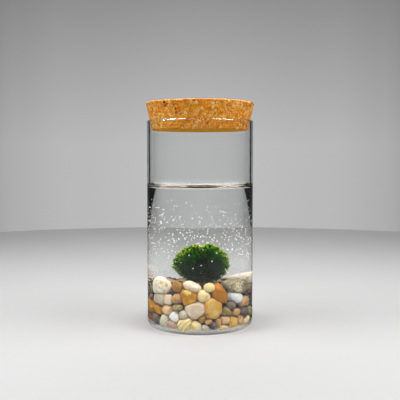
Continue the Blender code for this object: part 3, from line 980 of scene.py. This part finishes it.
# %% Rough the cork
PITS = [  # right of the axis, height and size in mm, on the front of the cork
    (-25.5, 166.5, 1.0), (-23.6, 165.2, 0.9), (-24.4, 163.8, 0.8), (-18.9, 166.4, 0.6), (-13.5, 166.2, 0.6),
    (-17.1, 161.8, 1.1), (-16.7, 158.9, 1.0), (-14.2, 157.8, 0.7), (6.4, 162.3, 0.5), (36.5, 165.0, 0.6),
]
SEAM_WIDTH, SEAM_DEPTH = 0.22, 0.13
FALLEN_SHARE, FALLEN_DEPTH = 0.16, 0.35
CHIPPED_RIM = 2.2 * MM


def crumb_depth(point):
    """How deep the surface lies here: seams between crumbs, fallen crumbs, marked pits."""
    near = noise.voronoi(point * 520)[0]
    seam = max(0.0, SEAM_WIDTH - (near[1] - near[0])) / SEAM_WIDTH
    fallen = noise.voronoi(point * 260 + Vector((3.0, 8.0, 1.0)))[0][0] < FALLEN_SHARE
    depth = SEAM_DEPTH * seam + FALLEN_DEPTH * fallen + 0.10 * noise.noise(point * 900)
    for x, z, size in PITS:
        if point.y < 0:
            away = math.hypot(point.x / MM - x, (point.z / MM - z) * 1.2)
            depth += 0.9 * max(0.0, 1 - (away / size) ** 2)
    return depth * MM


def rough_cork(point):
    if point.z < CORK_LOW.z + 0.05 * MM:
        return point
    away = Vector((point.x, point.y, 0.0))
    reach = away.length
    rim = max(0.0, 1 - ((CORK_HIGH.z - point.z) + abs(reach - CORK_HIGH.x)) / CHIPPED_RIM)
    chip = rim * max(0.0, noise.noise(point * 210) - 0.12) * 2.6 * MM
    depth = crumb_depth(point)
    if point.z > CORK_HIGH.z - 0.01 * MM and reach < CORK_HIGH.x - 1.0 * MM:
        return point - UP * depth
    return point - away.normalized() * (depth + chip * 0.7) - UP * chip * 0.6


print("marked pits:", len(PITS))

# %% [markdown]
# The finish follows the same crumbs. A node group cuts the surface into cells and gives each
# crumb one shade, a dark seam and now and then a hole, painted as a dark spot of shade. It is
# placed twice, coarse and fine, because pressed cork has crumbs of mixed size. The deeper hollows
# of the body are painted near black, as painted shade. The planed lower face only shows a soft drift.

# %% Cork finish
CRUMB_SHADES = [
    (0.0, (0.66, 0.12, 0.004)), (0.16, (0.88, 0.26, 0.010)), (0.45, (0.96, 0.36, 0.018)),
    (0.75, (0.98, 0.48, 0.05)), (1.0, (1.0, 0.74, 0.30)),
]
SEAM_BROWN, PAINTED_PIT_SHADE, PAINTED_HOLLOW_SHADE = (0.42, 0.13, 0.015, 1), (0.16, 0.02, 0.003, 1), (0.10, 0.012, 0.002, 1)


def make_crumbs():
    tree, given, out = new_group("crumbs", {"Scale": 520.0}, ["Color", "Seam", "Pit"])
    spot = scaled_spot(tree, given["Scale"])
    bent = blend(tree, 0.45, spot, clouds(tree, spot, 3.0, 2.2, out="Color"), "ADD")
    values = {"Vector": bent, "Scale": 1.0}
    cells = place(tree, "TexVoronoi", values)
    edge = place(tree, "TexVoronoi", values, feature="DISTANCE_TO_EDGE").outputs["Distance"]
    chance = place(tree, "SeparateColor", {"Color": cells.outputs["Color"]}).outputs
    feed(tree, out, {
        "Color": ramp(tree, chance["Red"], CRUMB_SHADES),
        "Seam": spread(tree, edge, (0.02, 0.14), (1.0, 0.0)),
        "Pit": maths(tree, "LESS_THAN", chance["Green"], 0.04),
    })
    return tree


def make_cork_material(crumbs):
    material, tree, shader = new_material("pressed cork")
    coarse, fine = effect(tree, crumbs, Scale=520.0), effect(tree, crumbs, Scale=1150.0)
    both = blend(tree, 0.42, coarse["Color"], fine["Color"])
    lined = blend(tree, maths(tree, "MULTIPLY", coarse["Seam"], 0.45), both, SEAM_BROWN)
    pitted = blend(tree, maths(tree, "MULTIPLY", fine["Pit"], 0.7), lined, PAINTED_PIT_SHADE)
    tint = mottled(tree, 42.0, (1.12, 1.16, 1.3), (0.95, 0.84, 0.68), contrast=0.14)["Color"]
    # painted shade: the deeper hollows of the body, fallen crumbs and pits, are painted near black
    hollow = place(tree, "Attribute", attribute_name="hollow").outputs["Fac"]
    feed(tree, shader, {
        "Base Color": blend(tree, hollow, blend(tree, 1.0, pitted, tint, "MULTIPLY"), PAINTED_HOLLOW_SHADE),
        "Roughness": spread(tree, coarse["Seam"], end=(0.75, 0.95)),
        "Specular IOR Level": 0.08,
    })
    bump(tree, shader, maths(tree, "SUBTRACT", grain(tree, 2400.0, 0.5), coarse["Seam"]), 0.6, 0.0003)
    return material


def make_planed_material():
    material, tree, shader = new_material("planed cork face")
    ground = mottled(tree, 220.0, (0.66, 0.32, 0.035), (0.50, 0.22, 0.02))
    shine = spread(tree, ground["Mask"], end=(1.0, 0.9))
    feed(tree, shader, {"Base Color": ground["Color"], "Roughness": shine, "Specular IOR Level": 0.0})
    bump(tree, shader, grain(tree, 1300.0, 0.2), 0.3, 0.0002)
    return material


cork = turned("cork_stopper_pressed", cork_profile(), CORK_TURNS, make_cork_material(make_crumbs()), rough_cork)
cork.data.materials.append(make_planed_material())
for face in cork.data.polygons:
    face.material_index = 1 if face.center.z < CORK_LOW.z + 0.2 * MM else 0
tag(cork, "hollow", "POINT", [min(1.0, max(0.0, crumb_depth(v.co) / MM - 0.3) / 0.25) for v in cork.data.vertices])
finish_piece(cork, "cork_stopper")
print("cork:", len(cork.data.polygons), "faces")

# %% [markdown]
# ## The glass jar
# The jar is a straight tube of clear glass with a fused floor. What makes it look like glass
# is its thickness: an outer and an inner skin, joined by a round lip. Light bends at both
# skins, and the sides then show as dark lines. Long faces beside a tight bend would be shaded
# as if bent too, so close rings of points stand on both sides of each bend. The glass has a
# real index of refraction and no shadow, so that the stones inside are lit softly.

# %% Blow the glass
LIP = WALL / 2
FOOT_ROUND = 5.0 * MM
JAR_TURNS = 256
WAVES = 0.03 * MM
GLASS_HEIGHTS = (20, 45, 70, 95, 120, 140, 153.7)


def arc(cx, cz, radius, start, end, steps):
    """Points of an arc, in degrees from the outward direction."""
    turns = [math.radians(start + (end - start) * i / steps) for i in range(steps + 1)]
    return [(cx + radius * math.cos(t), cz + radius * math.sin(t)) for t in turns]


def jar_profile():
    under = [(r * MM, 0.0) for r in (10, 22, 33)]
    foot = arc(JAR_RADIUS - FOOT_ROUND, FOOT_ROUND, FOOT_ROUND, -90, 0, 12)
    wall_up = [(JAR_RADIUS, z * MM) for z in (5.3, *GLASS_HEIGHTS)]
    lip = arc(BORE + LIP, JAR_HIGH.z - LIP, LIP, 0, 180, 12)
    wall_down = [(BORE, z * MM) for z in (*reversed(GLASS_HEIGHTS), 7.3)]
    inside = arc(BORE - INNER_ROUND, GLASS_FLOOR + INNER_ROUND, INNER_ROUND, 0, -90, 10)
    floor_in = [(r * MM, GLASS_FLOOR) for r in (26, 18, 9)]
    return [(0.0, 0.0), *under, *foot, *wall_up, *lip, *wall_down, *inside, *floor_in, (0.0, GLASS_FLOOR)]


def hand_made(point):
    """Glass is never quite round: a few hundredths of a millimetre of slow waves."""
    away = Vector((point.x, point.y, 0.0))
    if away.length < 30 * MM:
        return point
    return point - away.normalized() * abs(noise.noise(Vector((point.x * 40, point.y * 40, point.z * 22))) * WAVES)


def make_clear_material(name, colour, index, scale, strength):
    """A clear finish with slow waves: glass or water."""
    material, tree, shader = new_material(name)
    values = {"Base Color": colour, "Transmission Weight": 1.0, "IOR": index, "Roughness": 0.0}
    feed(tree, shader, values)
    bump(tree, shader, clouds(tree, scaled_spot(tree, scale), 1.0), strength, 0.0002)
    return material


GLASS = make_clear_material("clear glass", (0.985, 0.992, 0.988, 1.0), 1.47, 60.0, 0.15)
jar = turned("glass_jar_clear", jar_profile(), JAR_TURNS, GLASS, hand_made)
finish_piece(jar, "glass_jar")
print("jar:", len(jar.data.polygons), "faces")

# %% [markdown]
# ## The water
# The water is one closed body that fills the jar and climbs a little where it meets the
# glass. Its skin runs just inside the glass wall, so that a ray passes from glass to water
# with no film of air between them.

# %% Fill the jar
WATER_LEVEL = 104.5 * MM
CLIMB, CLIMB_REACH = 3.6 * MM, 3.0 * MM
OVERLAP = 0.15 * MM
SURFACE_RINGS = [  # shares of the radius
    1.0, 0.999, 0.9965, 0.99, 0.983, 0.975, 0.965, 0.95, 0.935, 0.915, 0.89, 0.86, 0.82, 0.76, 0.66, 0.5, 0.3, 0.15,
]


def water_profile():
    wall = BORE + OVERLAP
    low = arc(BORE - INNER_ROUND, GLASS_FLOOR + INNER_ROUND, INNER_ROUND + OVERLAP, -90, 0, 10)
    side = [(wall, z * MM) for z in (12, 30, 50, 70, 90, 104)]
    side += [(wall, WATER_LEVEL + CLIMB - 0.3 * MM), (wall, WATER_LEVEL + CLIMB - 0.04 * MM)]
    top = []
    for radius in (wall * share for share in SURFACE_RINGS):
        top.append((radius, WATER_LEVEL + CLIMB * math.exp(-(wall - radius) / CLIMB_REACH)))
    floor = GLASS_FLOOR - OVERLAP
    return [(0.0, floor), (BORE * 0.4, floor), *low, *side, *top, (0.0, WATER_LEVEL)]


WATER = make_clear_material("still water", (0.992, 0.997, 0.994, 1.0), 1.333, 45.0, 0.08)
water = finish_piece(turned("still_water", water_profile(), JAR_TURNS, WATER), "water")
print("water:", len(water.data.polygons), "faces")

# %% [markdown]
# Small air bubbles sit on the inside of the glass and on the moss. A bubble throws back nearly
# all the light that falls on it, so it is made as a silver bead: pale as a painted reflection,
# half clear and smooth, with a weak painted glow. Most sit on the near side, because the water
# stretches those on the far side into dashes.

# %% Bubbles
BUBBLES, MOSS_BUBBLES = 640, 22
FRONT_SHARE = 0.90
BUBBLE_LOW, BUBBLE_HIGH = 36 * MM, 97 * MM
BALL_TOP, BALL_WIDTH, KEPT_CLEAR = 64 * MM, 0.45, 0.75  # few hide the ball


def bubble_places(dice):
    spots = []
    for _ in range(BUBBLES):
        size = dice.uniform(0.26, 0.52) * MM
        turn = dice.uniform(math.pi, 2 * math.pi) if dice.random() < FRONT_SHARE else dice.uniform(0, math.pi)
        height = dice.gauss(70, 14) * MM
        if not BUBBLE_LOW < height < BUBBLE_HIGH:
            continue
        if height < BALL_TOP and abs(math.cos(turn)) < BALL_WIDTH and dice.random() < KEPT_CLEAR:
            continue
        reach = BORE - size - 0.02 * MM
        spots.append((Vector((reach * math.cos(turn), reach * math.sin(turn), height)), size))
    for _ in range(MOSS_BUBBLES):
        direction = Vector((dice.gauss(0, 1), dice.gauss(0, 1), dice.gauss(-0.7, 0.5))).normalized()
        size = dice.uniform(0.07, 0.13) * MM
        spots.append((MOSS_CENTRE + direction * (MOSS_RADIUS * swell(direction) - 0.2 * MM), size))
    return spots


def make_bubble_material():
    material, tree, shader = new_material("silver air")
    gleam = clouds(tree, scaled_spot(tree, 900.0), 2.0)
    pearl = blend(tree, gleam, (0.88, 0.87, 0.82, 1), (1.0, 0.99, 0.95, 1))
    # painted reflection and glow: the pale colour and the weak glow stand in for the light that a bubble throws
    # back
    feed(tree, shader, {
        "Base Color": pearl,
        "Emission Color": pearl,
        "Emission Strength": 0.16,
        "Transmission Weight": 0.35,
        "Roughness": 0.2,
        "IOR": 1.2,
    })
    return material


def make_bubbles():
    points, faces = BALLS[2]
    shapes = [(points * size + np.array(centre), faces) for centre, size in bubble_places(random.Random(23))]
    return add_many("air_bubbles", shapes, make_bubble_material())


bubbles = finish_piece(make_bubbles(), "water")
for clear in (jar, water, bubbles):
    clear.visible_shadow = False
    clear.visible_diffuse = False
print("bubbles:", len(bubbles.data.polygons) // len(BALLS[2][1]))
